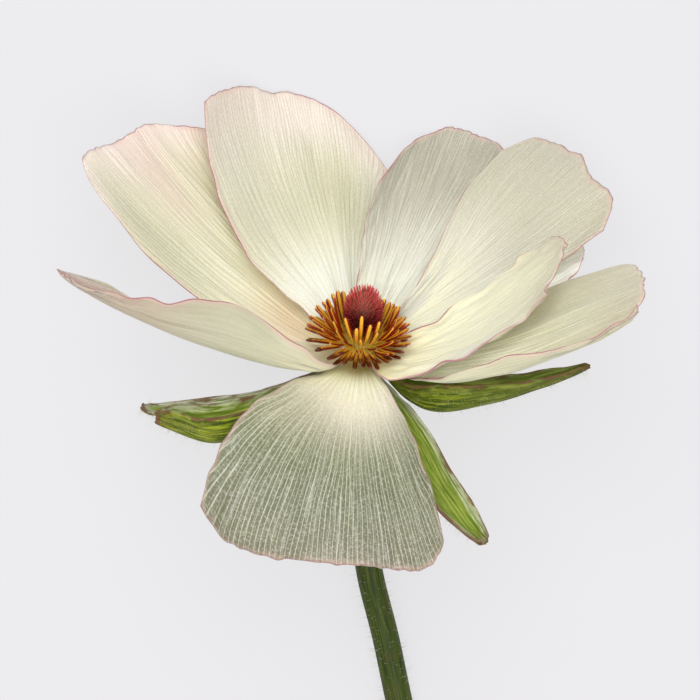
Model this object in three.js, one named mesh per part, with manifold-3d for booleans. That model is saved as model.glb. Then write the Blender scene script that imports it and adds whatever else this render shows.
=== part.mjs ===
// A cut ranunculus flower that lies on its back on a flat surface: stem, five sepals, nine petals,
// a ring of stamens and a head of carpels. Millimetres, +Z up, the surface at z = 0.
// The bloom faces up and towards +Y; the stem runs down to the surface and lies along it towards -Y.

import * as THREE from "three";
import { mergeVertices } from "three/addons/utils/BufferGeometryUtils.js";
import Module from "manifold-3d";

// Where the heart of the bloom is: the point of the receptacle that the outer petals leave from.
// Every guide point below is measured from it.
const HEART = new THREE.Vector3(1.22, 29.82, 19);
const AXIS_RISE = 30; // degrees that the bloom's axis rises from the surface
const AXIS_LEAN = 4.5; // degrees that it leans to the right of +Y

// Blades
const PETAL_THICK = 0.64;
const SEPAL_THICK = 0.8;
const PETAL_CELLS = [12, 12]; // across and along
const SEPAL_CELLS = [6, 10];

// Claws: the narrow feet of the blades, set round the receptacle
const CLAW_RADIUS = 2.7;
const SEPAL_CLAW_WIDTH = 1.8;
const LOWEST_LEVEL = -0.4; // heights of the petals' claws along the axis, in four overlapping steps
const OUTER_LEVEL = 0;
const MIDDLE_LEVEL = 0.45;
const INNER_LEVEL = 1;
const SEPAL_LEVEL = -1.5;

// Receptacle and stem
const RECEPTACLE_RADIUS = 2.2;
const RECEPTACLE_TOP = 1.35;
const NECK_RADIUS = 0.9;
const NECK_TOP = 2.35;
const STEM_RADIUS = 1.8;
const STEM_SIDES = 12;
const STEM_LIFT = STEM_RADIUS * Math.cos(Math.PI / STEM_SIDES); // centre line over the surface

// Stamens
const STAMEN_COUNT = 128;
const STAMEN_SIDES = 4;
const STAMEN_RING = { inner: 1.2, outer: 2.6, bottom: 1.65, top: 2.5 };
const STAMEN_ROOT = 2.2; // distance of their roots from the axis
const STAMEN_LENGTH = [4.7, 5.4]; // outermost and innermost
const STAMEN_LENGTH_SPREAD = 0.7;
const STAMEN_LENGTH_TILT = 0.45; // longer by so much on the left, and shorter on the right
const STAMEN_RISE = 5; // degrees that the outermost rise, more at the back and less at the front
const STAMEN_RISE_TILT = 17;
const STAMEN_RISE_INNERMOST = 72;
const STAMEN_RISE_SPREAD = 7;
const ANTHER_WIDTH = 0.8;
const FILAMENT_WIDTH = 0.36;

// Carpel head
const HEAD_CENTRE = 6; // height along the axis
const HEAD_RADIUS = 2.1;
const HEAD_HALF_HEIGHT = 3.3;
const HEAD_FULLNESS = 0.75; // 1 makes the core an ellipsoid, less makes it fuller
const STYLE_COUNT = 72;
const STYLE_LENGTH = 1.5; // from inside the core to the tip
const STYLE_SUNK = 0.7;
const STYLE_WIDTH = 0.8;
const STYLE_TIP_WIDTH = 0.3;

// The bloom's own directions
const rise = THREE.MathUtils.degToRad(AXIS_RISE);
const lean = THREE.MathUtils.degToRad(AXIS_LEAN);
const AXIS = new THREE.Vector3(
  Math.cos(rise) * Math.sin(lean),
  Math.cos(rise) * Math.cos(lean),
  Math.sin(rise),
);
const RIGHT = new THREE.Vector3(Math.cos(lean), -Math.sin(lean), 0);
const BACK = new THREE.Vector3().crossVectors(AXIS, RIGHT);
const UP = new THREE.Vector3(0, 0, 1);

// A point by its azimuth round the axis (0 right, 90 back), its distance from it and its height.
function aroundAxis(azimuth, radius, height) {
  const turn = THREE.MathUtils.degToRad(azimuth);
  return new THREE.Vector3()
    .addScaledVector(RIGHT, radius * Math.cos(turn))
    .addScaledVector(BACK, radius * Math.sin(turn))
    .addScaledVector(AXIS, height);
}

// Petals. claw is the width of the claw. A vein is a list of points from the claw out to the rim; a petal
// has three to five veins, from its left edge to its right edge as seen from the heart. rim lists, at even
// steps across, how far the rim stands beyond the veins' ends, in hundredths of the petal's length.
const PETALS = {
  petal_front: {
    azimuth: 264,
    level: OUTER_LEVEL,
    claw: 4,
    veins: [
      [[2.7, -3.2, 3.9], [4.8, -6.6, 7.4], [7.6, -12.6, 12], [10, -19.8, 15.3], [11.6, -26.7, 16]],
      [[1, -3.6, 4.8], [2, -8, 9.2], [3.2, -14.6, 14], [4.3, -22, 16.9], [5, -29.5, 17.4]],
      [[-0.8, -3.6, 5], [-1.6, -8.2, 9.6], [-2.6, -14.8, 14.6], [-3.3, -22, 17.6], [-3.6, -29.1, 18]],
      [
        [-2.8, -3.3, 4.5], [-5.2, -6.8, 8.5], [-8.6, -12.6, 13.3],
        [-11.3, -20.4, 16.3], [-12.6, -28.2, 17],
      ],
      [
        [-4.9, -2.7, 2.6], [-9.4, -4.1, 6], [-15.2, -7.8, 10.1],
        [-19.5, -13.9, 12.9], [-21.7, -21.4, 13.8],
      ],
    ],
    rim: [-3, 2.2, 2, 0, -1.3, -1.3, -1, -2.3, -2.2, -1, 0.4, 2.4, -2],
  },
  petal_left: {
    azimuth: 197,
    level: INNER_LEVEL,
    claw: 2.4,
    veins: [
      [
        [-4.4, -1.4, 5.2], [-9.6, 1.9, 8], [-17.8, 6.9, 11.8],
        [-27, 7, 14.6], [-34.5, 8, 16.8], [-39.2, 9.9, 17.8],
      ],
      [
        [-4.6, -2.3, 4.4], [-10.4, -2, 7], [-18.8, 0.2, 10.4],
        [-27.6, 3.4, 13], [-35.2, 7.2, 15.8], [-40.2, 10.5, 17.4],
      ],
      [
        [-5.2, -0.6, 2.2], [-11, -0.5, 3.6], [-19.8, 2.7, 6.6],
        [-28.4, 5.6, 9.6], [-35.8, 8.7, 13.2], [-40.8, 11.1, 16.2],
      ],
      [
        [-5, 0.8, 0.4], [-10.6, 1.6, 0.2], [-19.4, 5.4, 2],
        [-27.6, 6.1, 5], [-34.3, 9.2, 9.6], [-39.4, 10.5, 13.8],
      ],
    ],
    rim: [-3, 0, 1, 0, -3],
  },
  petal_left_back: {
    azimuth: 162,
    level: LOWEST_LEVEL,
    claw: 2.2,
    veins: [
      [[-9.2, -0.3, -2], [-19.8, 5.4, -2.2], [-29.8, 14.2, 0.2], [-37.6, 24.6, 1.8]],
      [[-9.2, 7.2, -7.4], [-17.6, 15.2, -10], [-24.8, 23.2, -10], [-30.8, 30.3, -8]],
      [[-6.4, 8, -9.4], [-11.4, 15.4, -13.8], [-15, 22.2, -14.8], [-17.5, 28.6, -15.2]],
    ],
    rim: [-1, 2, 1, -0.5, -2, -1.5, 0, 2, 2.5, 2.5, 3.5, 4, -1],
  },
  petal_back_left: {
    azimuth: 114,
    level: MIDDLE_LEVEL,
    claw: 1.9,
    veins: [
      [[-7.1, 5.2, -2.5], [-14.8, 12.2, -6.2], [-19.4, 21.4, -9], [-21.3, 32.8, -10.7]],
      [[-3.4, 9.6, -8], [-6.4, 18.8, -14], [-8.8, 27.8, -18], [-10.4, 36.4, -18.6]],
      [[1, 7.6, -8], [3, 15, -12.8], [4.2, 21.6, -15.6], [3.4, 27.2, -16.6]],
    ],
    rim: [2.5, 2.4, 1.2, 0.4, -1, -3.3, -2.2, -1.6, -0.8, -0.3, -1.8, -6, -13],
  },
  petal_back_right: {
    azimuth: 73,
    level: INNER_LEVEL,
    claw: 1.5,
    veins: [
      [[-0.6, 7.4, -4.6], [0.2, 13.8, -8.2], [1.2, 19.6, -11.2], [4, 25.6, -13.8]],
      [[3.8, 9.4, -7.2], [6.8, 17, -12.8], [9.6, 24.2, -17.4], [12, 30.9, -18.8]],
      [[6.8, 7, -6.2], [12.4, 13.6, -11.4], [17.2, 20.6, -15.2], [21, 26.4, -16.6]],
    ],
    rim: [-10, -3.6, -0.8, -1.2, -2, -1.8, -0.2, -0.8, -1, -1, 0.3, 0.8, -3],
  },
  petal_right_back: {
    azimuth: 38,
    level: INNER_LEVEL,
    claw: 1.5,
    veins: [
      [[6, 6.6, -3.4], [9.8, 12.8, -6.2], [13.8, 21.2, -9.2], [19.6, 27.6, -10.8]],
      [[8.8, 7.2, -4.2], [16, 13.6, -7.6], [22.8, 20, -9.8], [29.8, 26.4, -10.4]],
      [[9.4, 3.2, -1.9], [17.4, 6.6, -3.7], [25.2, 11, -5.3], [33.8, 17, -5.6]],
    ],
    rim: [0, 5.4, 4.5, 2.9, 1.9, 1, 2, 0, -0.8, 0.8, 2.8, 2.4, -1.6],
  },
  petal_right_outer: {
    azimuth: 25,
    level: OUTER_LEVEL,
    claw: 1.5,
    veins: [
      [[9.4, 6.4, -5.8], [16.6, 11.2, -9.2], [23.4, 15.4, -11.2], [28.2, 17.2, -11.6]],
      [[10, 3.6, -3.2], [18, 7.2, -5.6], [25, 10.8, -7.4], [30.6, 13.6, -8]],
      [[10.4, 1, -1.2], [18.6, 3.8, -2.2], [25, 7.2, -4], [28.8, 10, -5.2]],
    ],
    rim: [-6, -1, 0, 0, -0.4, -2, -6],
  },
  petal_right_inner: {
    azimuth: -28,
    level: INNER_LEVEL,
    claw: 3.6,
    veins: [
      [[5.2, 1.7, 0], [10.6, 4.6, 0.4], [16.4, 8.4, 1], [21.6, 12.6, 2.6], [26.6, 15.7, 5]],
      [[5.6, 0.4, 1], [11.4, 2.6, 2.4], [17.4, 6, 3.8], [23, 10.4, 5.8], [27.9, 14.8, 7.8]],
      [[5.4, -1.2, 3.6], [11.4, -0.2, 5.6], [17.4, 2.6, 7.4], [22.8, 6.6, 9.2], [26.4, 10.8, 10]],
      [[3.5, -3.6, 6.5], [9.4, -2.4, 9.2], [15.8, 0.5, 11.2], [21, 3.6, 12.4], [25.3, 7.6, 12.2]],
    ],
    rim: [-2, -1, -0.5, 0, 0, 0.5, 1, 0, -5, -6, -4, -1.5, -1],
  },
  petal_right_front: {
    azimuth: -24,
    level: OUTER_LEVEL,
    claw: 2.4,
    veins: [
      [[6, 0.1, -0.5], [12.5, 2.6, 0.2], [20, 5.8, 1], [28, 9.4, 3.6], [35.6, 12.2, 8]],
      [[6.2, -0.9, 0.9], [13, 0.8, 3.2], [21, 3.6, 5.8], [29.6, 7.4, 9], [38, 10.8, 12.6]],
      [[6.2, -2, 2.3], [13.2, -1, 5.8], [21.4, 1, 9.4], [30.2, 4.4, 13.2], [38.8, 8.6, 16.6]],
      [[6, -3, 3.8], [12.4, -3.8, 7.6], [21, -2.7, 12.2], [30.2, 1.1, 16.4], [37.6, 4.9, 19.2]],
      [[6.6, -3.5, 4.8], [13, -3, 9.2], [21.2, -0.4, 14.2], [30.2, 1.7, 17.8], [36.9, 5.6, 19.8]],
    ],
    rim: [-3, 0.5, 0.4, 0.5, -0.3, -0.4, -0.8, -0.8, -2.6, -2.8, -1.5, 1.5, 2.2],
  },
};

// Sepals, with veins as above: left edge, keel, right edge.
const SEPALS = {
  sepal_left_rear: {
    azimuth: 162,
    veins: [
      [[-7, -3.6, -1], [-14, -7.4, -3], [-21, -9, -5.4], [-27, -8.6, -8.6], [-29.6, -7.4, -10.8]],
      [
        [-7.2, -3.8, -3.4], [-14, -7.4, -6.6], [-21, -8.8, -9.4],
        [-27, -8.2, -11.4], [-29.7, -7.2, -11.8],
      ],
      [
        [-7.2, -3, -4.4], [-14, -5.2, -8.2], [-21, -6.2, -11.2],
        [-27, -6.9, -12.4], [-29.6, -7.1, -12.4],
      ],
    ],
  },
  sepal_left_front: {
    azimuth: 216,
    veins: [
      [[-7, -4.2, 3.6], [-13.6, -7.2, 7.6], [-20.7, -9, 10], [-25.2, -8, 11.8], [-27.6, -8.4, 12.6]],
      [
        [-7, -5.2, 2.2], [-13.6, -10.3, 5.2], [-19.6, -12.1, 7.6],
        [-25, -10.7, 10.2], [-27.6, -9.3, 12],
      ],
      [[-7, -3, 0.6], [-14, -5.6, 2.2], [-20.5, -7, 5], [-25.4, -7.2, 9], [-27.6, -8.2, 11.8]],
    ],
  },
  sepal_right: {
    azimuth: -1,
    veins: [
      [[5, -1.4, -0.6], [11, -2.4, 1], [18.5, -3.2, 2.5], [25.3, -2.3, 5], [31, -1.8, 7.5]],
      [[6.3, -6, 1.1], [11, -7.8, 3], [18, -6.6, 5], [25, -4.4, 6.8], [31.2, -1.9, 8.2]],
      [[6.4, -4.2, 2.8], [11.6, -4.4, 6], [18.4, -4.5, 8], [25.3, -3.3, 8.8], [31, -2, 8.8]],
    ],
  },
  sepal_front_right: {
    azimuth: 298,
    veins: [
      [[6, -6.7, -1.2], [9.2, -10.4, 3.2], [12.4, -16, 5.4], [15.6, -20.8, 6.6], [17.5, -25.1, 7.6]],
      [[2.8, -6.4, 2.2], [6.8, -12, 4.6], [10.2, -17.8, 6.2], [13.4, -22.6, 7], [17, -26.1, 7.8]],
      [[1.2, -6, 4], [4, -11.6, 7.6], [7.6, -17.4, 9], [11.6, -22.2, 9], [15.9, -25.7, 8.4]],
    ],
  },
  sepal_back: {
    azimuth: 84,
    veins: [
      [[-2.6, 6, -8.7], [-3.4, 12.4, -13.5], [-2.6, 18.4, -16.8], [0.4, 23.6, -18.1]],
      [[0.4, 5.6, -9], [0.8, 11.8, -14], [1.2, 18, -17.2], [1.6, 24, -18.1]],
      [[3.4, 5.4, -8.2], [5, 11.4, -13], [4.8, 17.6, -16.6], [2.4, 23.4, -17.9]],
    ],
  },
};

// The stem's centre line, from the receptacle down to the surface and along it to the cut.
const STEM_LINE = [
  [-0.3, -3.2, -1.9],
  [-0.2, -7.5, -4.3],
  [0.1, -14, -7.8],
  [0.5, -22, -11.6],
  [1.3, -30, -14.5],
  [3.5, -39, -16.4],
  [5.4, -48, STEM_LIFT - HEART.z],
  [8.5, -62, STEM_LIFT - HEART.z],
  [10.6, -78, STEM_LIFT - HEART.z],
  [11.4, -96, STEM_LIFT - HEART.z],
];
const STEM_STEPS = 28;

const wasm = await Module();
wasm.setup();

const vector = (point) => new THREE.Vector3(...point);

// The point at share t of a smooth curve through the given points. Each end follows a parabola.
function along(points, t) {
  const spans = points.length - 1;
  const span = Math.min(Math.floor(t * spans), spans - 1);
  const s = t * spans - span;
  const beyond = (a, b, c) => a.clone().sub(b).multiplyScalar(3).add(c);
  const p1 = points[span];
  const p2 = points[span + 1];
  const p0 = span > 0 ? points[span - 1] : beyond(p1, p2, points[Math.min(2, spans)]);
  const p3 = span < spans - 1 ? points[span + 2] : beyond(p2, p1, points[Math.max(spans - 2, 0)]);
  return new THREE.Vector3()
    .addScaledVector(p0, 0.5 * (-s + 2 * s * s - s ** 3))
    .addScaledVector(p1, 0.5 * (2 - 5 * s * s + 3 * s ** 3))
    .addScaledVector(p2, 0.5 * (s + 4 * s * s - 3 * s ** 3))
    .addScaledVector(p3, 0.5 * (-s * s + s ** 3));
}

// The value at share t of a smooth curve through evenly spaced values.
const valueAlong = (values, t) =>
  along(values.map((value) => new THREE.Vector3(value, 0, 0)), t).x;

// A closed blade: a grid of points on its middle surface, thickened to both sides alike.
function bladeGeometry(surface, [across, length], thick) {
  const grid = [];
  for (let j = 0; j <= length; j++)
    for (let i = 0; i <= across; i++) grid.push(surface(i / across, j / length));
  const at = (i, j) => grid[j * (across + 1) + i];
  const positions = [];
  for (const side of [1, -1])
    for (let j = 0; j <= length; j++)
      for (let i = 0; i <= across; i++) {
        const over = at(Math.min(i + 1, across), j).clone().sub(at(Math.max(i - 1, 0), j));
        const out = at(i, Math.min(j + 1, length)).clone().sub(at(i, Math.max(j - 1, 0)));
        const normal = over.cross(out).normalize();
        positions.push(...at(i, j).clone().addScaledVector(normal, (side * thick) / 2));
      }
  const outer = (across + 1) * (length + 1); // index of the outer face's first point
  const index = (i, j) => j * (across + 1) + i;
  const faces = [];
  for (let j = 0; j < length; j++)
    for (let i = 0; i < across; i++) {
      const [a, b, c, d] = [index(i, j), index(i + 1, j), index(i + 1, j + 1), index(i, j + 1)];
      faces.push(a, b, c, a, c, d);
      faces.push(outer + a, outer + c, outer + b, outer + a, outer + d, outer + c);
    }
  const border = [];
  for (let i = 0; i < across; i++) border.push(index(i, 0));
  for (let j = 0; j < length; j++) border.push(index(across, j));
  for (let i = across; i > 0; i--) border.push(index(i, length));
  for (let j = length; j > 0; j--) border.push(index(0, j));
  border.forEach((a, k) => {
    const b = border[(k + 1) % border.length];
    faces.push(a, outer + a, b, b, outer + a, outer + b);
  });
  const geometry = new THREE.BufferGeometry();
  geometry.setAttribute("position", new THREE.Float32BufferAttribute(positions, 3));
  geometry.setIndex(faces);
  geometry.computeVertexNormals();
  return geometry;
}

// The veins with their first points, on the claw, put before the others.
function fullVeins({ azimuth, veins }, level, clawWidth) {
  const spread = THREE.MathUtils.radToDeg(clawWidth / CLAW_RADIUS);
  return veins.map((vein, k) => {
    const aside = 0.5 - k / (veins.length - 1);
    const foot = aroundAxis(azimuth + aside * spread, CLAW_RADIUS, level);
    return [foot, ...vein.map(vector)];
  });
}

// The middle surface of a blade: u across, v from the claw to the rim. Where it would dip into the
// surface that the flower lies on, it lies flat on it.
function bladeSurface(veins, rim, thick) {
  const lowest = thick / 2 - HEART.z;
  return (u, v) => {
    const out = v * (1 + valueAlong(rim, u) / 100);
    const point = along(veins.map((vein) => along(vein, out)), u);
    point.z = Math.max(point.z, lowest);
    return point;
  };
}

function petalGeometry(petal) {
  const veins = fullVeins(petal, petal.level, petal.claw);
  return bladeGeometry(bladeSurface(veins, petal.rim, PETAL_THICK), PETAL_CELLS, PETAL_THICK);
}

function sepalGeometry(sepal) {
  const veins = fullVeins(sepal, SEPAL_LEVEL, SEPAL_CLAW_WIDTH);
  return bladeGeometry(bladeSurface(veins, [0, 0, 0], SEPAL_THICK), SEPAL_CELLS, SEPAL_THICK);
}

// A tube of rings along a line, closed at both ends, with a flat of its section facing down from up.
// radii gives a radius for each point.
function tubeGeometry(line, radii, sides, up) {
  const positions = [];
  const faces = [];
  line.forEach((point, k) => {
    const ahead = line[Math.min(k + 1, line.length - 1)];
    const behind = line[Math.max(k - 1, 0)];
    const tangent = ahead.clone().sub(behind).normalize();
    const side = new THREE.Vector3().crossVectors(up, tangent).normalize();
    const top = new THREE.Vector3().crossVectors(tangent, side);
    for (let i = 0; i < sides; i++) {
      const turn = ((i + 0.5) / sides) * 2 * Math.PI;
      positions.push(
        ...point
          .clone()
          .addScaledVector(side, radii[k] * Math.cos(turn))
          .addScaledVector(top, radii[k] * Math.sin(turn)),
      );
    }
  });
  const ring = (k, i) => k * sides + (i % sides);
  for (let k = 0; k < line.length - 1; k++)
    for (let i = 0; i < sides; i++) {
      faces.push(ring(k, i), ring(k, i + 1), ring(k + 1, i + 1));
      faces.push(ring(k, i), ring(k + 1, i + 1), ring(k + 1, i));
    }
  const last = line.length - 1;
  for (let i = 1; i < sides - 1; i++) {
    faces.push(ring(0, 0), ring(0, i + 1), ring(0, i));
    faces.push(ring(last, 0), ring(last, i), ring(last, i + 1));
  }
  const geometry = new THREE.BufferGeometry();
  geometry.setAttribute("position", new THREE.Float32BufferAttribute(positions, 3));
  geometry.setIndex(faces);
  return geometry;
}

// Joining closed geometries into one body

function solidOf(geometry) {
  const bare = geometry.clone();
  bare.deleteAttribute("normal");
  bare.deleteAttribute("uv");
  const merged = mergeVertices(bare, 1e-4);
  return new wasm.Manifold(
    new wasm.Mesh({
      numProp: 3,
      vertProperties: merged.attributes.position.array,
      triVerts: new Uint32Array(merged.index.array),
    }),
  );
}

function joined(geometries) {
  const whole = wasm.Manifold.union(geometries.map(solidOf));
  const mesh = whole.getMesh();
  const geometry = new THREE.BufferGeometry();
  geometry.setAttribute("position", new THREE.BufferAttribute(mesh.vertProperties, 3));
  geometry.setIndex(new THREE.BufferAttribute(mesh.triVerts, 1));
  geometry.computeVertexNormals();
  return geometry;
}

// A lathed profile of [radius, height] pairs, stood on the bloom's axis.
function onAxis(profile, sides) {
  const lathe = new THREE.LatheGeometry(profile.map(([r, h]) => new THREE.Vector2(r, h)), sides);
  const stand = new THREE.Matrix4().makeBasis(RIGHT, AXIS, BACK.clone().negate());
  return lathe.applyMatrix4(stand);
}

function stemGeometry() {
  const line = STEM_LINE.map(vector);
  const steps = Array.from({ length: STEM_STEPS + 1 }, (_, k) => {
    const point = along(line, k / STEM_STEPS);
    point.z = Math.max(point.z, STEM_LIFT - HEART.z);
    return point;
  });
  const tube = tubeGeometry(steps, steps.map(() => STEM_RADIUS), STEM_SIDES, UP);
  const receptacle = onAxis(
    [
      [0, -5.2],
      [1.6, -5.2],
      [1.75, -3.6],
      [RECEPTACLE_RADIUS, -2.5],
      [RECEPTACLE_RADIUS, RECEPTACLE_TOP],
      [NECK_RADIUS, RECEPTACLE_TOP],
      [NECK_RADIUS, NECK_TOP],
      [0, NECK_TOP],
    ],
    16,
  );
  return joined([tube, receptacle]);
}

// A seeded draw between 0 and 1, the same on every run.
function seededDraw(seed) {
  let state = seed;
  return () => {
    state = (state * 1103515245 + 12345) % 2147483648;
    return state / 2147483648;
  };
}

const GOLDEN_TURN = 137.508; // degrees from one repeat to the next, as they grow

function stamensGeometry() {
  const draw = seededDraw(7);
  const { inner, outer, bottom, top } = STAMEN_RING;
  const ring = onAxis([[inner, bottom], [outer, bottom], [outer, top], [inner, top], [inner, bottom]], 16);
  const pieces = [ring];
  for (let k = 0; k < STAMEN_COUNT; k++) {
    const azimuth = k * GOLDEN_TURN;
    const share = (k + 0.5) / STAMEN_COUNT; // 0 for the outermost stamens, 1 for the innermost
    const outermost = STAMEN_RISE + STAMEN_RISE_TILT * Math.sin(THREE.MathUtils.degToRad(azimuth));
    const rise = THREE.MathUtils.lerp(outermost, STAMEN_RISE_INNERMOST, share ** 1.5);
    const climb = THREE.MathUtils.degToRad(rise + STAMEN_RISE_SPREAD * (draw() - 0.5));
    const length =
      THREE.MathUtils.lerp(...STAMEN_LENGTH, share) +
      STAMEN_LENGTH_SPREAD * (draw() - 0.5) -
      STAMEN_LENGTH_TILT * Math.cos(THREE.MathUtils.degToRad(azimuth));
    const steps = [0, 0.7, 1].map((s) =>
      aroundAxis(
        azimuth,
        STAMEN_ROOT + s * length * Math.cos(climb),
        (bottom + top) / 2 + s * length * Math.sin(climb),
      ),
    );
    const widths = [FILAMENT_WIDTH, ANTHER_WIDTH, ANTHER_WIDTH * 0.35];
    pieces.push(tubeGeometry(steps, widths.map((width) => width / 2), STAMEN_SIDES, AXIS));
  }
  return joined(pieces);
}

// The head's radius at a height between -1, its foot, and 1, its top.
const headRadius = (height) => HEAD_RADIUS * Math.max(1 - height * height, 0) ** (HEAD_FULLNESS / 2);

function carpelHeadGeometry() {
  const profile = [];
  for (let k = 0; k <= 10; k++) {
    const turn = Math.PI * (k / 10 - 0.5);
    profile.push([headRadius(Math.sin(turn)), HEAD_CENTRE + HEAD_HALF_HEIGHT * Math.sin(turn)]);
  }
  const pieces = [onAxis(profile, 14)];
  for (let k = 0; k < STYLE_COUNT; k++) {
    const azimuth = k * GOLDEN_TURN;
    const up = THREE.MathUtils.lerp(-0.12, 0.98, (k + 0.5) / STYLE_COUNT); // sine of its latitude
    const round = Math.sqrt(1 - up * up);
    const foot = aroundAxis(azimuth, headRadius(up), HEAD_CENTRE + HEAD_HALF_HEIGHT * up);
    const outward = aroundAxis(azimuth, round, up * 0.6 + 0.35).normalize();
    const line = [-STYLE_SUNK, STYLE_LENGTH - STYLE_SUNK].map((s) =>
      foot.clone().addScaledVector(outward, s),
    );
    pieces.push(tubeGeometry(line, [STYLE_WIDTH / 2, STYLE_TIP_WIDTH / 2], 3, AXIS));
  }
  return joined(pieces);
}

// The finishes
const petalFinish = new THREE.MeshStandardMaterial({ color: 0xe6e4cc, roughness: 0.55, metalness: 0 });
const sepalFinish = new THREE.MeshStandardMaterial({ color: 0x8aa83c, roughness: 0.6, metalness: 0 });
const stemFinish = new THREE.MeshStandardMaterial({ color: 0x4d6b33, roughness: 0.55, metalness: 0 });
const stamenFinish = new THREE.MeshStandardMaterial({ color: 0xe08a1e, roughness: 0.6, metalness: 0 });
const headFinish = new THREE.MeshStandardMaterial({ color: 0x7d2338, roughness: 0.65, metalness: 0 });

const flower = new THREE.Group();
flower.position.copy(HEART);

function addPiece(name, geometry, finish) {
  const mesh = new THREE.Mesh(geometry, finish);
  mesh.name = name;
  flower.add(mesh);
}

addPiece("stem", stemGeometry(), stemFinish);
for (const [name, petal] of Object.entries(PETALS)) addPiece(name, petalGeometry(petal), petalFinish);
for (const [name, sepal] of Object.entries(SEPALS)) addPiece(name, sepalGeometry(sepal), sepalFinish);
addPiece("stamens", stamensGeometry(), stamenFinish);
addPiece("carpel_head", carpelHeadGeometry(), headFinish);

export default flower;
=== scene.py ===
# The looks of a cut ranunculus flower that lies on its back: fine petals, sepals, stem, stamens and
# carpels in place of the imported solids, with their veins, hairs and colours.
# Shapes are worked out in millimetres from the heart of the bloom, as in the part's source, and
# add_piece() turns them into metres. On a blade, across is the share of the way from its left edge to
# its right edge as seen from the heart, and out the share of the way from its claw to its rim.

import math

import bpy
import numpy as np
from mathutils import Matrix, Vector


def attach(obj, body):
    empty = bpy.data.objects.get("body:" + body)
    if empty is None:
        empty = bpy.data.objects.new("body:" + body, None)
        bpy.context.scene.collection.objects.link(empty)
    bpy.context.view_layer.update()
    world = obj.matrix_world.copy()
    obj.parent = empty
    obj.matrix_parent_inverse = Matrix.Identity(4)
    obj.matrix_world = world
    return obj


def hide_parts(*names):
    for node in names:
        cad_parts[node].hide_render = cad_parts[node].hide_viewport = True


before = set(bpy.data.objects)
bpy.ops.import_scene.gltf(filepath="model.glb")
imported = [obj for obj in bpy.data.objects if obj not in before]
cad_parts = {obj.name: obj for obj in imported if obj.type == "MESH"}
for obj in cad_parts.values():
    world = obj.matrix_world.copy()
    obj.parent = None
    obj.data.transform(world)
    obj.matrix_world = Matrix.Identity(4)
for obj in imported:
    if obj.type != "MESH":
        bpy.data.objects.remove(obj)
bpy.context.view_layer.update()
scene = bpy.context.scene

MM = 0.001  # metres in a millimetre

# Where the heart of the bloom is, and how its axis stands: the same values as in the part's source.
HEART = np.array([1.22, 29.82, 19.0])
AXIS_RISE = math.radians(30)
AXIS_LEAN = math.radians(4.5)
AXIS = np.array([
    math.cos(AXIS_RISE) * math.sin(AXIS_LEAN),
    math.cos(AXIS_RISE) * math.cos(AXIS_LEAN),
    math.sin(AXIS_RISE),
])
RIGHT = np.array([math.cos(AXIS_LEAN), -math.sin(AXIS_LEAN), 0.0])
BACK = np.cross(AXIS, RIGHT)
UP = np.array([0.0, 0.0, 1.0])
GOLDEN_TURN = 137.508  # degrees from one repeat to the next, as they grow

# Seeds of the random draws. The petals, the sepals and their hairs count on from the first one's.
SEEDS = {"petal": 1, "sepal": 41, "sepal hairs": 61, "stem": 3, "stem hairs": 29, "stamens": 11, "head": 5}
PATTERN_STEP = 7.3  # between two seeds' places in the noises of a finish
DRAW_SEED = 7  # of the simple draws that the part's source makes too, with these numbers
DRAW_FACTOR = 1103515245
DRAW_STEP = 12345
DRAW_RANGE = 2147483648

# Claws: the narrow feet of the blades, set round the receptacle
CLAW_RADIUS = 2.7
SEPAL_CLAW_WIDTH = 1.8
LOWEST_LEVEL = -0.4
OUTER_LEVEL = 0.0
MIDDLE_LEVEL = 0.45
INNER_LEVEL = 1.0
SEPAL_LEVEL = -1.5

# Blades, nearly as thin as real ones
PETAL_THICK = 0.3
SEPAL_THICK = 0.5
PETAL_CELLS = (184, 84)  # across and out
SEPAL_CELLS = (72, 96)
RELIEF_START = (0.04, 0.25)  # the relief below sets in between these shares out

# Relief of the blades: heights, and reaches in from the edge
RIM_WAVE_REACH = 2.5
RIM_NOTCH_REACH = 1.2
WAVY_WIDTHS = (5, 12)  # a petal's rim waves from the first width on, and fully from the second
FACE_SWELL = 0.25
WRINKLE = 0.06
WRINKLE_START = 2
SEPAL_SWELL = 0.14
SEPAL_FOLD = 0.08
SEPAL_RIM_WAVE = 0.3
SEPAL_RIM_WAVE_REACH = 0.8
SEPAL_RAGGED = 0.6  # how uneven their ends are, in hundredths of the length

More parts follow.
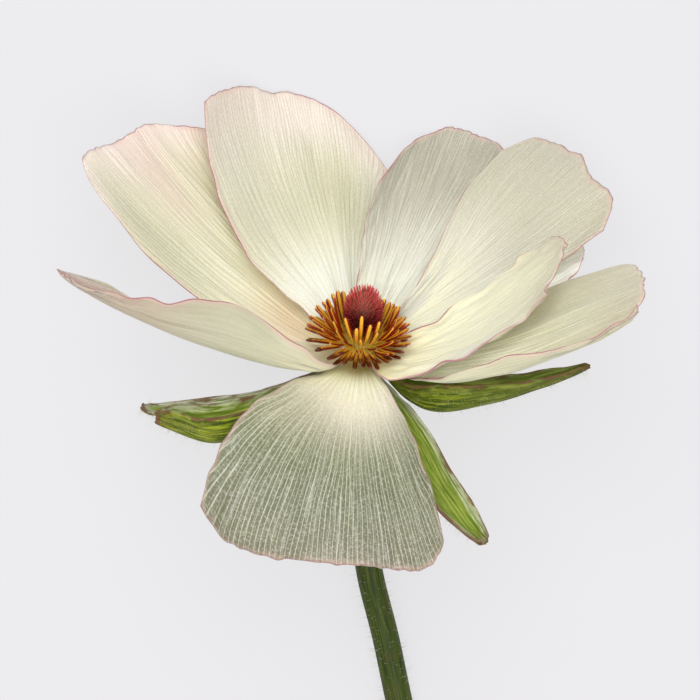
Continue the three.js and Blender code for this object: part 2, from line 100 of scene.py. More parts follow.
# Petals. claw is the claw's azimuth, height and width. veins are guide veins from the left edge to the
# right edge, each from above the claw out to the rim. rim is its reach beyond their ends, in hundredths
# of the length. tints are the colours from the claw out to the rim, in shares of 255; many are lifted
# towards white near the claw and where other parts shade the petal, as painted light against that
# shade. spread is how much wider than the petal its fan of fine veins opens, lines how plainly they
# show as pale lines, if at all, and ribs how plainly as dark ones. The next two are how streaked the
# petal is, in darker streaks and in pale streaks of painted sheen, and how strongly its crinkles get
# painted shade in their hollows and painted highlights on their crests. ragged is how uneven the rim
# is, in hundredths of the length, and wavy how far it waves, in mm. patches are places of another
# colour, some of them painted shade and some painted light: their place across and out, their spread
# across and out, colour and strength.
PETALS = {
    "petal_front": dict(
        claw=(264, OUTER_LEVEL, 4.0),
        veins=[
            [[2.7, -3.2, 3.9], [4.8, -6.6, 7.4], [7.6, -12.6, 12], [10, -19.8, 15.3], [11.6, -26.7, 16]],
            [[1, -3.6, 4.8], [2, -8, 9.2], [3.2, -14.6, 14], [4.3, -22, 16.9], [5, -29.5, 17.4]],
            [[-0.8, -3.6, 5], [-1.6, -8.2, 9.6], [-2.6, -14.8, 14.6], [-3.3, -22, 17.6], [-3.6, -29.1, 18]],
            [[-2.8, -3.3, 4.5], [-5.2, -6.8, 8.5], [-8.6, -12.6, 13.3],
             [-11.3, -20.4, 16.3], [-12.6, -28.2, 17]],
            [[-4.9, -2.7, 2.6], [-9.4, -4.1, 6], [-15.2, -7.8, 10.1],
             [-19.5, -13.9, 12.9], [-21.7, -21.4, 13.8]],
        ],
        rim=[-3, 2.2, 2, 0, -1.3, -1.3, -1, -2.3, -2.2, -1, 0.4, 2.4, -2],
        # Painted light and shade: yellow-green at the claw, partly its own colour and partly painted shade
        # under the stamens, then a painted highlight where it bends, then darker grey-green further out,
        # painted shade where it turns from the light
        tints=[
            (186, 180, 84), (253, 249, 208), (226, 217, 196), (122, 125, 93), (99, 102, 70), (110, 104, 80),
        ],
        spread=0.45, lines=0.85, ribs=0, streaks_and_painted_sheen=0.6, crinkle_shading=0.8, ragged=0.45, wavy=0.3,
        # The three darker patches are painted shade: one at each side of the petal and one along a fold
        # near its rim. The yellow-green one at the claw is partly its own colour and partly painted shade
        # under the stamens.
        patches=[
            (1.0, 0.48, 0.3, 0.14, (126, 126, 80), 0.6), (0.0, 0.72, 0.22, 0.25, (84, 84, 44), 0.7),
            (0.45, 0.12, 0.6, 0.085, (152, 138, 0), 1.0), (0.82, 0.93, 0.16, 0.025, (112, 118, 84), 0.5),
        ],
    ),
    "petal_left": dict(
        claw=(197, INNER_LEVEL, 2.4),
        veins=[
            [[-4.4, -1.4, 5.2], [-9.6, 1.9, 8], [-17.8, 6.9, 11.8],
             [-27, 7, 14.6], [-34.5, 8, 16.8], [-39.2, 9.9, 17.8]],
            [[-4.6, -2.3, 4.4], [-10.4, -2, 7], [-18.8, 0.2, 10.4],
             [-27.6, 3.4, 13], [-35.2, 7.2, 15.8], [-40.2, 10.5, 17.4]],
            [[-5.2, -0.6, 2.2], [-11, -0.5, 3.6], [-19.8, 2.7, 6.6],
             [-28.4, 5.6, 9.6], [-35.8, 8.7, 13.2], [-40.8, 11.1, 16.2]],
            [[-5, 0.8, 0.4], [-10.6, 1.6, 0.2], [-19.4, 5.4, 2],
             [-27.6, 6.1, 5], [-34.3, 9.2, 9.6], [-39.4, 10.5, 13.8]],
        ],
        rim=[-3, 0, 1, 0, -3],
        # Near white at the claw: painted light against the shadow of the stamens there
        tints=[(254, 250, 216), (232, 227, 194), (196, 194, 170), (186, 151, 141), (191, 157, 158)],
        spread=0.2, ribs=0.7, streaks_and_painted_sheen=0.35, crinkle_shading=0.35, ragged=0.3, wavy=0.5,
        patches=[(0.95, 0.85, 0.35, 0.25, (214, 208, 188), 0.8)],
    ),
    "petal_left_back": dict(
        claw=(162, LOWEST_LEVEL, 2.2),
        veins=[
            [[-9.2, -0.3, -2], [-19.8, 5.4, -2.2], [-29.8, 14.2, 0.2], [-37.6, 24.6, 1.8]],
            [[-9.2, 7.2, -7.4], [-17.6, 15.2, -10], [-24.8, 23.2, -10], [-30.8, 30.3, -8]],
            [[-6.4, 8, -9.4], [-11.4, 15.4, -13.8], [-15, 22.2, -14.8], [-17.5, 28.6, -15.2]],
        ],
        rim=[-1, 2, 1, -0.5, -2, -1.5, 0, 2, 2.5, 2.5, 3.5, 4, -1],
        tints=[(255, 250, 220), (250, 240, 209), (238, 234, 208), (230, 223, 200), (240, 228, 222)],
        spread=0.25, ribs=1.0, streaks_and_painted_sheen=0.45, crinkle_shading=0.45, ragged=0.3, wavy=0.3,
        patches=[
            (0.1, 0.76, 0.1, 0.25, (184, 186, 158), 0.6), (0.42, 0.86, 0.12, 0.2, (230, 200, 194), 0.5),
            # The peach patch at 0.8 across and 0.3 out, beside petal_back_left, is partly its own blush and
            # partly painted light against that petal's shade
            (0.25, 0.24, 0.3, 0.12, (238, 194, 168), 0.45), (0.8, 0.3, 0.2, 0.2, (244, 214, 180), 0.6),
            (0.7, 1.0, 0.5, 0.1, (240, 212, 206), 0.5),
        ],
    ),
    "petal_back_left": dict(
        claw=(114, MIDDLE_LEVEL, 1.9),
        veins=[
            [[-7.1, 5.2, -2.5], [-14.8, 12.2, -6.2], [-19.4, 21.4, -9], [-21.3, 32.8, -10.7]],
            [[-3.4, 9.6, -8], [-6.4, 18.8, -14], [-8.8, 27.8, -18], [-10.4, 36.4, -18.6]],
            [[1, 7.6, -8], [3, 15, -12.8], [4.2, 21.6, -15.6], [3.4, 27.2, -16.6]],
        ],
        rim=[2.5, 2.4, 1.2, 0.4, -1, -3.3, -2.2, -1.6, -0.8, -0.3, -1.8, -6, -13],
        tints=[(255, 250, 212), (252, 252, 232), (215, 212, 187), (211, 206, 186), (213, 200, 192)],
        spread=0.25, ribs=0.9, streaks_and_painted_sheen=0.55, crinkle_shading=0.5, ragged=0.22, wavy=0.22,
        patches=[
            (0.72, 0.62, 0.16, 0.16, (190, 188, 152), 0.5), (0.55, 0.9, 0.3, 0.12, (234, 222, 216), 0.6),
        ],
    ),
    "petal_back_right": dict(
        claw=(73, INNER_LEVEL, 1.5),
        veins=[
            [[-0.6, 7.4, -4.6], [0.2, 13.8, -8.2], [1.2, 19.6, -11.2], [4, 25.6, -13.8]],
            [[3.8, 9.4, -7.2], [6.8, 17, -12.8], [9.6, 24.2, -17.4], [12, 30.9, -18.8]],
            [[6.8, 7, -6.2], [12.4, 13.6, -11.4], [17.2, 20.6, -15.2], [21, 26.4, -16.6]],
        ],
        rim=[-10, -3.6, -0.8, -1.2, -2, -1.8, -0.2, -0.8, -1, -1, 0.3, 0.8, -3],
        tints=[(255, 252, 214), (242, 242, 222), (211, 209, 194), (184, 181, 165), (177, 173, 159)],
        spread=0.2, ribs=0.9, streaks_and_painted_sheen=1.0, crinkle_shading=0.6, ragged=0.25, wavy=0.25,
        patches=[(0.95, 0.42, 0.3, 0.28, (238, 237, 230), 0.6)],
    ),
    "petal_right_back": dict(
        claw=(38, INNER_LEVEL, 1.5),
        veins=[
            [[6, 6.6, -3.4], [9.8, 12.8, -6.2], [13.8, 21.2, -9.2], [19.6, 27.6, -10.8]],
            [[8.8, 7.2, -4.2], [16, 13.6, -7.6], [22.8, 20, -9.8], [29.8, 26.4, -10.4]],
            [[9.4, 3.2, -1.9], [17.4, 6.6, -3.7], [25.2, 11, -5.3], [33.8, 17, -5.6]],
        ],
        rim=[0, 5.4, 4.5, 2.9, 1.9, 1, 2, 0, -0.8, 0.8, 2.8, 2.4, -1.6],
        tints=[(255, 251, 220), (246, 242, 212), (221, 218, 200), (194, 191, 171), (182, 177, 161)],
        spread=0.25, ribs=0.7, streaks_and_painted_sheen=0.5, crinkle_shading=0.5, ragged=0.22, wavy=0.25,
        patches=[(0.9, 0.85, 0.3, 0.25, (206, 200, 180), 0.6)],
    ),
    "petal_right_outer": dict(
        claw=(25, OUTER_LEVEL, 1.5),
        veins=[
            [[9.4, 6.4, -5.8], [16.6, 11.2, -9.2], [23.4, 15.4, -11.2], [28.2, 17.2, -11.6]],
            [[10, 3.6, -3.2], [18, 7.2, -5.6], [25, 10.8, -7.4], [30.6, 13.6, -8]],
            [[10.4, 1, -1.2], [18.6, 3.8, -2.2], [25, 7.2, -4], [28.8, 10, -5.2]],
        ],
        rim=[-6, -1, 0, 0, -0.4, -2, -6],
        # Near white all the way out: painted light, as this petal lies in the shade of its neighbours
        tints=[(255, 253, 228), (255, 253, 232), (255, 253, 236), (255, 253, 240), (255, 253, 242)],
        spread=0.2, ribs=0.5, streaks_and_painted_sheen=0.4, crinkle_shading=0.4, ragged=0.3, wavy=0.22,
        patches=[],
    ),
    "petal_right_inner": dict(
        claw=(-28, INNER_LEVEL, 3.6),
        veins=[
            [[5.2, 1.7, 0], [10.6, 4.6, 0.4], [16.4, 8.4, 1], [21.6, 12.6, 2.6], [26.6, 15.7, 5]],
            [[5.6, 0.4, 1], [11.4, 2.6, 2.4], [17.4, 6, 3.8], [23, 10.4, 5.8], [27.9, 14.8, 7.8]],
            [[5.4, -1.2, 3.6], [11.4, -0.2, 5.6], [17.4, 2.6, 7.4], [22.8, 6.6, 9.2], [26.4, 10.8, 10]],
            [[3.5, -3.6, 6.5], [9.4, -2.4, 9.2], [15.8, 0.5, 11.2], [21, 3.6, 12.4], [25.3, 7.6, 12.2]],
        ],
        rim=[-2, -1, -0.5, 0, 0, 0.5, 1, 0, -5, -6, -4, -1.5, -1],
        tints=[(252, 246, 200), (252, 245, 203), (241, 238, 207), (226, 223, 197), (196, 190, 168)],
        spread=0.2, ribs=0.5, streaks_and_painted_sheen=0.3, crinkle_shading=0.35, ragged=0.35, wavy=0.5,
        patches=[
            (0.95, 0.55, 0.16, 0.2, (214, 212, 206), 0.6), (0.8, 0.03, 0.6, 0.12, (208, 196, 110), 0.7),
        ],
    ),
    "petal_right_front": dict(
        claw=(-24, OUTER_LEVEL, 2.4),
        veins=[
            [[6, 0.1, -0.5], [12.5, 2.6, 0.2], [20, 5.8, 1], [28, 9.4, 3.6], [35.6, 12.2, 8]],
            [[6.2, -0.9, 0.9], [13, 0.8, 3.2], [21, 3.6, 5.8], [29.6, 7.4, 9], [38, 10.8, 12.6]],
            [[6.2, -2, 2.3], [13.2, -1, 5.8], [21.4, 1, 9.4], [30.2, 4.4, 13.2], [38.8, 8.6, 16.6]],
            [[6, -3, 3.8], [12.4, -3.8, 7.6], [21, -2.7, 12.2], [30.2, 1.1, 16.4], [37.6, 4.9, 19.2]],
            [[6.6, -3.5, 4.8], [13, -3, 9.2], [21.2, -0.4, 14.2], [30.2, 1.7, 17.8], [36.9, 5.6, 19.8]],
        ],
        rim=[-3, 0.5, 0.4, 0.5, -0.3, -0.4, -0.8, -0.8, -2.6, -2.8, -1.5, 1.5, 2.2],
        # Near white out to halfway: partly its own pale colour and partly painted light against the shade
        # of petal_right_inner above it
        tints=[(255, 252, 218), (255, 252, 220), (255, 251, 224), (214, 211, 185), (203, 196, 176)],
        spread=0.2, ribs=0.8, streaks_and_painted_sheen=0.4, crinkle_shading=0.4, ragged=0.4, wavy=0.5,
        patches=[
            (1.0, 0.95, 0.3, 0.12, (196, 160, 120), 0.5), (0.85, 0.5, 0.16, 0.4, (214, 213, 176), 0.7),
        ],
    ),
}

# Sepals, with veins as above: left edge, keel, right edge. pale is how bare and pale the inside is along
# its edges, and shade how bright the lighter green of the outside is.
SEPALS = {
    "sepal_left_rear": dict(
        azimuth=162, pale=1.0, shade=1.1,
        veins=[
            [[-7, -3.6, -1], [-14, -7.4, -3], [-21, -9, -5.4], [-27, -8.6, -8.6], [-29.6, -7.4, -10.8]],
            [[-7.2, -3.8, -3.4], [-14, -7.4, -6.6], [-21, -8.8, -9.4],
             [-27, -8.2, -11.4], [-29.7, -7.2, -11.8]],
            [[-7.2, -3, -4.4], [-14, -5.2, -8.2], [-21, -6.2, -11.2],
             [-27, -6.9, -12.4], [-29.6, -7.1, -12.4]],
        ],
    ),
    "sepal_left_front": dict(
        azimuth=216, pale=0.6, shade=1.25,
        veins=[
            [[-7, -4.2, 3.6], [-13.6, -7.2, 7.6], [-20.7, -9, 10], [-25.2, -8, 11.8], [-27.6, -8.4, 12.6]],
            [[-7, -5.2, 2.2], [-13.6, -10.3, 5.2], [-19.6, -12.1, 7.6],
             [-25, -10.7, 10.2], [-27.6, -9.3, 12]],
            [[-7, -3, 0.6], [-14, -5.6, 2.2], [-20.5, -7, 5], [-25.4, -7.2, 9], [-27.6, -8.2, 11.8]],
        ],
    ),
    "sepal_right": dict(
        azimuth=-1, pale=0.15, shade=0.92,
        veins=[
            [[5, -1.4, -0.6], [11, -2.4, 1], [18.5, -3.2, 2.5], [25.3, -2.3, 5], [31, -1.8, 7.5]],
            [[6.3, -6, 1.1], [11, -7.8, 3], [18, -6.6, 5], [25, -4.4, 6.8], [31.2, -1.9, 8.2]],
            [[6.4, -4.2, 2.8], [11.6, -4.4, 6], [18.4, -4.5, 8], [25.3, -3.3, 8.8], [31, -2, 8.8]],
        ],
    ),
    "sepal_front_right": dict(
        azimuth=298, pale=0.7, shade=1.05,
        veins=[
            [[6, -6.7, -1.2], [9.2, -10.4, 3.2], [12.4, -16, 5.4], [15.6, -20.8, 6.6], [17.5, -25.1, 7.6]],
            [[2.8, -6.4, 2.2], [6.8, -12, 4.6], [10.2, -17.8, 6.2], [13.4, -22.6, 7], [17, -26.1, 7.8]],
            [[1.2, -6, 4], [4, -11.6, 7.6], [7.6, -17.4, 9], [11.6, -22.2, 9], [15.9, -25.7, 8.4]],
        ],
    ),
    "sepal_back": dict(
        azimuth=84, pale=0.6, shade=1.0,
        veins=[
            [[-2.6, 6, -8.7], [-3.4, 12.4, -13.5], [-2.6, 18.4, -16.8], [0.4, 23.6, -18.1]],
            [[0.4, 5.6, -9], [0.8, 11.8, -14], [1.2, 18, -17.2], [1.6, 24, -18.1]],
            [[3.4, 5.4, -8.2], [5, 11.4, -13], [4.8, 17.6, -16.6], [2.4, 23.4, -17.9]],
        ],
    ),
}

# The lighter green of their outside, from the claw out to the tip
SEPAL_TINTS = [(146, 150, 62), (132, 142, 38), (122, 130, 28), (128, 116, 40)]

# The stem's centre line, from the receptacle down to the surface and along it to the cut
STEM_RADIUS = 1.8
STEM_LIFT = STEM_RADIUS * math.cos(math.pi / 12)
STEM_REST = STEM_LIFT - HEART[2]  # where it lies
STEM_LINE = [
    [-0.3, -3.2, -1.9], [-0.2, -7.5, -4.3], [0.1, -14, -7.8], [0.5, -22, -11.6], [1.3, -30, -14.5],
    [3.5, -39, -16.4], [5.4, -48, STEM_REST], [8.5, -62, STEM_REST], [10.6, -78, STEM_REST],
    [11.4, -96, STEM_REST],
]
STEM_CELLS = (56, 190)  # round and along
NECK_RADIUS = 2.05  # where the stem leaves the receptacle
NECK_RINGS = 6
STEM_RIDGES = ((11, 0.035, 0.7), (23, 0.02, 2.1))  # how many, how high, and their first turn
STEM_ROUGHNESS = 0.006

# The receptacle, from its top down to the stem: heights on the axis, and radii there
RECEPTACLE_RADIUS = 2.2
RECEPTACLE_TOP = 1.35
RECEPTACLE_HEIGHTS = (RECEPTACLE_TOP + 0.9, RECEPTACLE_TOP + 0.85, RECEPTACLE_TOP, 0.4, -0.6, -1.6, -2.5)
RECEPTACLE_RADII = (0.5, 0.95, 1.9, RECEPTACLE_RADIUS, RECEPTACLE_RADIUS, RECEPTACLE_RADIUS, 2.15)

# Stamens
STAMEN_COUNT = 128
STAMEN_RING = {"radius": 2.6, "bottom": 1.65, "top": 2.5}
STAMEN_ROOT = 2.2  # distance of their roots from the axis
STAMEN_LENGTH = (4.7, 5.9)  # outermost and innermost
STAMEN_LENGTH_SPREAD = 0.7
STAMEN_LENGTH_TILT = 0.45  # longer by so much on the left, and shorter on the right
STAMEN_LENGTH_FALL = 0.6  # the innermost: longer by so much at the front, and shorter at the back
STAMEN_RISE = 5  # degrees that the outermost rise, more at the back and less at the front
STAMEN_RISE_TILT = 17
STAMEN_RISE_INNERMOST = 72
STAMEN_RISE_SPREAD = 7
STAMEN_SAG = 0.12  # the least, halfway along
STAMEN_SAG_SPREAD = 0.2
STAMEN_ASIDE = 4  # degrees that a tip strays to either side
STAMEN_SIDES = 12
ANTHER_WIDTH = 0.74
ANTHER_THICK = 0.42
FILAMENT_WIDTH = 0.24

# A stamen's outline: shares of its length, then shares of the filament's and the anther's size there
STAMEN_STEPS = np.array([0, 0.1, 0.2, 0.28, 0.32, 0.38, 0.45, 0.55, 0.67, 0.78, 0.87, 0.935, 0.97, 0.99, 1])
FILAMENT_OUTLINE = np.array([1, 1, 1, 1.2] + [0] * 11)
ANTHER_OUTLINE = np.array([0, 0, 0, 0, 0.55, 0.8, 0.93, 1, 1, 1, 0.98, 0.9, 0.68, 0.48, 0.2])

# Carpel head
HEAD_CENTRE = 6
HEAD_RADIUS = 2.1
HEAD_HALF_HEIGHT = 3.3
HEAD_FULLNESS = 0.75  # 1 makes the core an ellipsoid, less makes it fuller
CORE_SIDES = 40
CORE_STEPS = 22
STYLE_COUNT = 460
STYLE_START = -0.6  # height of the lowest ones, where the head's foot is -1 and its top 1
STYLE_REACH = 1.59  # from there up to the highest
STYLE_LENGTH = 0.85
STYLE_WIDTH = 0.18
STYLE_STEPS = np.array([-0.25, 0.15, 0.5, 0.8, 1.0])
STYLE_OUTLINE = np.array([1.25, 1.0, 0.8, 0.62, 0.35])  # shares of the width at those steps
STYLE_SIDES = 5

# Hairs. lengths are the shortest and longest, and lean how far they lean along the blade or stem.
SEPAL_HAIRS = {"count": 170, "lengths": (0.5, 1.8), "radius": 0.018, "lean": 0.8}
STEM_HAIRS = {"count": 620, "lengths": (0.5, 1.5), "radius": 0.02, "lean": 0.5}
HAIR_STEPS = np.array([-0.03, 0.35, 0.7, 1.0])
HAIR_OUTLINE = np.array([1, 0.8, 0.55, 0.2])
HAIR_SIDES = 3

# Fine veins: a fan of so many, which fork twice on their way out to the rim
PETAL_VEINS = 18
SEPAL_VEINS = 6
VEIN_WANDER = 0.7
FORKS = ((0.1, 0.25), (0.34, 0.125))  # where each may start at the earliest, and how far apart it opens
FORK_DELAY = 0.26  # the latest starts so much further out
FORK_LENGTH = 0.28

# The photograph's frame: the camera looks straight down on it from far off.
VIEW_CENTRE = HEART + np.array([-1.36, 0.27, 0.0])
VIEW_WIDTH = 95.2  # mm across the frame at the height of the heart
VIEW_DISTANCE = 3000.0  # mm from the heart
SENSOR_WIDTH = 36.0

# The near-white of the painted sheen on the petals' streaks and of the painted highlights on their
# crinkles' crests
PETAL_PAINTED_SHEEN = (252, 251, 240)
FLOOR_HALF = 1.5  # metres
ROOM_LIGHT = 0.72


# Curves, noise and directions


def spline_weights(shares, count):
    """Weights that blend count even values into the smooth curve's value at each share of it."""
    shares = np.asarray(shares, float)
    spans = count - 1
    span = np.clip(np.floor(shares * spans), 0, spans - 1).astype(int)
    s = shares * spans - span
    kernel = [
        0.5 * (-s + 2 * s**2 - s**3),
        0.5 * (2 - 5 * s**2 + 3 * s**3),
        0.5 * (s + 4 * s**2 - 3 * s**3),
        0.5 * (-(s**2) + s**3),
    ]
    weights = np.zeros(shares.shape + (count + 2,))
    for k, amount in enumerate(kernel):
        np.put_along_axis(weights, (span + k)[..., None], amount[..., None], axis=-1)
    # Each end follows a parabola, so the value beyond it comes from the nearest three.
    ends = np.zeros((count + 2, count))
    ends[1:-1] = np.eye(count)
    for row, a, b, c in [(0, 0, 1, min(2, spans)), (-1, spans, spans - 1, max(spans - 2, 0))]:
        ends[row, a] += 3
        ends[row, b] -= 3
        ends[row, c] += 1
    return weights @ ends


def curve(values, shares):
    """The smooth curve through evenly spaced values or points, at each share of it."""
    values = np.asarray(values, float)
    return spline_weights(shares, len(values)) @ values


def smooth_noise(rng, swells, out, across):
    """Seeded noise between about -1 and 1 on a grid of shares, with so many swells out and across."""
    knots = rng.uniform(-1, 1, swells)
    return spline_weights(out, swells[0]) @ knots @ spline_weights(across, swells[1]).T


def rim_noise(rng, swells, across):
    """The first row of such a noise, for a rim."""
    return smooth_noise(rng, swells, np.array([0.0]), across)[0]


def smooth_step(x, low, high):
    t = np.clip((x - low) / (high - low), 0, 1)
    return t * t * (3 - 2 * t)


def around_axis(azimuth, radius, height):
    """A point by its azimuth round the axis in degrees, its distance from it and its height."""
    turn = math.radians(azimuth)
    return RIGHT * radius * math.cos(turn) + BACK * radius * math.sin(turn) + AXIS * height


def unit(vectors):
    return vectors / np.linalg.norm(vectors, axis=-1, keepdims=True)


def keep_above_floor(points, lift=0.0):
    """Raises points that lie lower than lift above the surface that the flower rests on."""
    points[..., 2] = np.maximum(points[..., 2], lift - HEART[2])


def linear(colour):
    """A colour in shares of 255 as the linear values that Blender works in."""
    share = np.asarray(colour, float) / 255
    return np.where(share <= 0.04045, share / 12.92, ((share + 0.055) / 1.055) ** 2.4)


# Meshes


def add_object(name, data):
    thing = bpy.data.objects.new(name, data)
    scene.collection.objects.link(thing)
    return thing


def add_piece(name, points, faces, material, values):
    """A smooth mesh of points in millimetres from the heart, with named values at its points. tint
    holds its colours, and shares the places that noises and fine veins go by."""
    mesh = bpy.data.meshes.new(name)
    mesh.from_pydata(((points + HEART) * MM).tolist(), [], faces)
    for key, value in values.items():
        value = np.asarray(value, np.float32)
        if key == "shares":
            corners = np.empty(len(mesh.loops), int)
            mesh.loops.foreach_get("vertex_index", corners)
            mesh.uv_layers.new(name="UVMap").data.foreach_set("uv", value[corners].ravel())
        elif key == "tint":
            rgba = np.pad(value, ((0, 0), (0, 1)), constant_values=1)
            mesh.attributes.new(key, "FLOAT_COLOR", "POINT").data.foreach_set("color", rgba.ravel())
        else:
            mesh.attributes.new(key, "FLOAT", "POINT").data.foreach_set("value", value)
    mesh.shade_smooth()
    mesh.materials.append(material)
    piece = add_object(name, mesh)
    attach(piece, "root")
    return piece


def merged(parts):
    """Several (points, faces, values) as one."""
    points, faces, values = [], [], {key: [] for key in parts[0][2]}
    start = 0
    for part_points, part_faces, part_values in parts:
        points.append(part_points)
        faces.extend([[corner + start for corner in face] for face in part_faces])
        for key, value in part_values.items():
            values[key].append(value)
        start += len(part_points)
    return np.concatenate(points), faces, {key: np.concatenate(value) for key, value in values.items()}


def tube_faces(rings, sides):
    """Faces of a tube of rings that starts and ends in a single point, which come last."""
    faces = []
    for k in range(rings - 1):
        for i in range(sides):
            a, b = k * sides + i, k * sides + (i + 1) % sides
            faces.append([a, b, b + sides, a + sides])
    first, last = rings * sides, rings * sides + 1
    for i in range(sides):
        j = (i + 1) % sides
        faces.append([first, j, i])
        faces.append([last, (rings - 1) * sides + i, (rings - 1) * sides + j])
    return faces


def ring_turns(sides):
    """The angles of a ring's points, from the side towards the top."""
    return np.arange(sides) / sides * 2 * np.pi


def tube(line, widths, sides, up, heights=None, groove=0.0):
    """A closed tube along a line. widths and heights are its half sizes to the side and towards up,
    and groove how deep a furrow runs along its upper face, as a share of its height there."""
    line = np.asarray(line, float)
    tangent = unit(np.gradient(line, axis=0))
    side = unit(np.cross(up, tangent))
    top = np.cross(tangent, side)
    widths = np.asarray(widths, float)
    heights = widths if heights is None else np.asarray(heights, float)
    turn = ring_turns(sides)
    lift = np.sin(turn)
    lift = np.where(lift > 0, lift * (1 - groove * np.exp(-((np.cos(turn) / 0.4) ** 2))), lift)
    points = (
        line[:, None]
        + side[:, None] * (widths[:, None] * np.cos(turn))[..., None]
        + top[:, None] * (heights[:, None] * lift)[..., None]
    )
    points = np.concatenate([points.reshape(-1, 3), line[[0, -1]]])
    return points, tube_faces(len(line), sides)


# Blades: petals and sepals


def grid_shares(cells_across, cells_out):
    """The shares across and out of a blade's points."""
    return np.linspace(0, 1, cells_across + 1), np.linspace(0, 1, cells_out + 1)


def full_veins(veins, azimuth, level, claw_width):
    """The veins with their first points, on the claw, put before the others."""
    spread = math.degrees(claw_width / CLAW_RADIUS)
    last = len(veins) - 1
    return [
        [around_axis(azimuth + (0.5 - k / last) * spread, CLAW_RADIUS, level), *vein]
        for k, vein in enumerate(veins)
    ]


def middle_surface(veins, rim, across, out, ragged):
    """The middle surface of a blade on the grid of shares, as rows out of points across."""
    reach = out[:, None] * (1 + (curve(rim, across) + ragged)[None, :] / 100)
    lines = np.stack([curve(np.array(vein, float), reach) for vein in veins])
    return np.einsum("uk,kvuc->vuc", spline_weights(across, len(veins)), lines)


def normals_of(surface):
    over = np.gradient(surface, axis=1)
    out = np.gradient(surface, axis=0)
    return unit(np.cross(over, out))


def distances(surface):
    """Each point's distance along the blade from its nearest edge, and each row's width."""
    over = np.linalg.norm(np.diff(surface, axis=1), axis=2)
    out = np.linalg.norm(np.diff(surface, axis=0), axis=2)
    from_left = np.pad(np.cumsum(over, axis=1), ((0, 0), (1, 0)))
    width = from_left[:, -1:]
    from_claw = np.pad(np.cumsum(out, axis=0), ((1, 0), (0, 0)))
    to_rim = from_claw[-1:] - from_claw
    return np.minimum(np.minimum(from_left, width - from_left), to_rim), width


def fan_of_veins(across, out, width, spread):
    """Each place's share across the fan of fine veins, and how many mm a whole share is there. The fan
    opens wider than the blade, by spread at the rim, so its outer veins run out at the sides."""
    opened = 1 + spread * out[:, None] ** 1.5
    return 0.5 + (across[None, :] - 0.5) / opened, np.tile(width * opened, len(across))


def blade_mesh(surface, thick, edge, values):
    """A closed thin blade: an inner and an outer face that meet at the border."""
    rows, columns = surface.shape[:2]
    half = thick / 2 * np.sqrt(1 - (1 - np.clip(edge / thick, 0, 1)) ** 2)
    lift = normals_of(surface) * half[..., None]
    index = np.arange(rows * columns).reshape(rows, columns)
    under = index.copy()
    inside = (slice(1, -1), slice(1, -1))
    under[inside] = rows * columns + np.arange((rows - 2) * (columns - 2)).reshape(rows - 2, columns - 2)

    def quads(grid):
        corners = [grid[:-1, :-1], grid[:-1, 1:], grid[1:, 1:], grid[1:, :-1]]
        return np.stack(corners, axis=-1).reshape(-1, 4)

    def both(over, below):
        size = over.shape[2:]
        return np.concatenate([over.reshape(-1, *size), below[inside].reshape(-1, *size)])

    faces = np.concatenate([quads(index), quads(under)[:, ::-1]])
    values = {key: both(value, value) for key, value in values.items()}
    values["outside"] = both(np.zeros_like(edge), np.ones_like(edge))
    return both(surface + lift, surface - lift), faces.tolist(), values


def blade_tint(tints, patches, across, out):
    """Colours on the grid: from the claw out to the rim, with the patches laid over them."""
    colour = curve(linear(tints), out)[:, None] * np.ones((1, len(across), 1))
    for at_across, at_out, spread_across, spread_out, patch, strength in patches:
        share = strength * np.exp(
            -(((across[None, :] - at_across) / spread_across) ** 2)
            - (((out[:, None] - at_out) / spread_out) ** 2)
        )
        colour = colour + (linear(patch) - colour) * share[..., None]
    return np.clip(colour, 0, 1)


def add_blade(name, surface, thick, fan_spread, levels, tint, material):
    """The fine piece that stands for a petal or sepal. levels are values that all of it shares."""
    keep_above_floor(surface, thick / 2)
    across, out = grid_shares(surface.shape[1] - 1, surface.shape[0] - 1)
    edge, width = distances(surface)
    fan, fan_width = fan_of_veins(across, out, width, fan_spread)
    values = {key: np.full_like(edge, level) for key, level in levels.items()}
    shares = np.stack([fan, np.broadcast_to(out[:, None], fan.shape)], axis=-1)
    values.update(edge=edge, fan_width=fan_width, tint=tint, shares=shares)
    points, faces, values = blade_mesh(surface, thick, edge, values)
    piece = add_piece(name + "_fine", points, faces, material, values)
    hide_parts(name)


def make_petal(name, petal, seed, material):
    rng = np.random.default_rng(seed)
    across, out = grid_shares(*PETAL_CELLS)
    veins = full_veins(petal["veins"], *petal["claw"])
    ragged = rim_noise(rng, (2, 42), across) * petal["ragged"]
    surface = middle_surface(veins, petal["rim"], across, out, ragged)
    edge, width = distances(surface)
    near_edge = np.exp(-edge / RIM_WAVE_REACH)
    waves = petal["wavy"] * smooth_step(width, *WAVY_WIDTHS)
    swell = waves * near_edge * smooth_noise(rng, (14, 15), out, across)
    swell += FACE_SWELL * (1 - near_edge) * smooth_noise(rng, (5, 11), out, across)
    swell += WRINKLE * smooth_noise(rng, (10, 60), out, across) * smooth_step(edge, 0, WRINKLE_START)
    sideways = unit(np.gradient(surface, axis=1)) * np.sign(across - 0.5)[None, :, None]
    notches = waves * np.exp(-edge / RIM_NOTCH_REACH) * smooth_noise(rng, (19, 2), out, across)
    moves = normals_of(surface) * swell[..., None] + sideways * notches[..., None]
    surface = surface + moves * smooth_step(out, *RELIEF_START)[:, None, None]
    levels = {key: petal.get(key, 0) for key in ("lines", "ribs", "streaks_and_painted_sheen", "crinkle_shading")}
    levels["turn"] = seed * PATTERN_STEP
    tint = blade_tint(petal["tints"], petal["patches"], across, out)
    add_blade(name, surface, PETAL_THICK, petal["spread"], levels, tint, material)


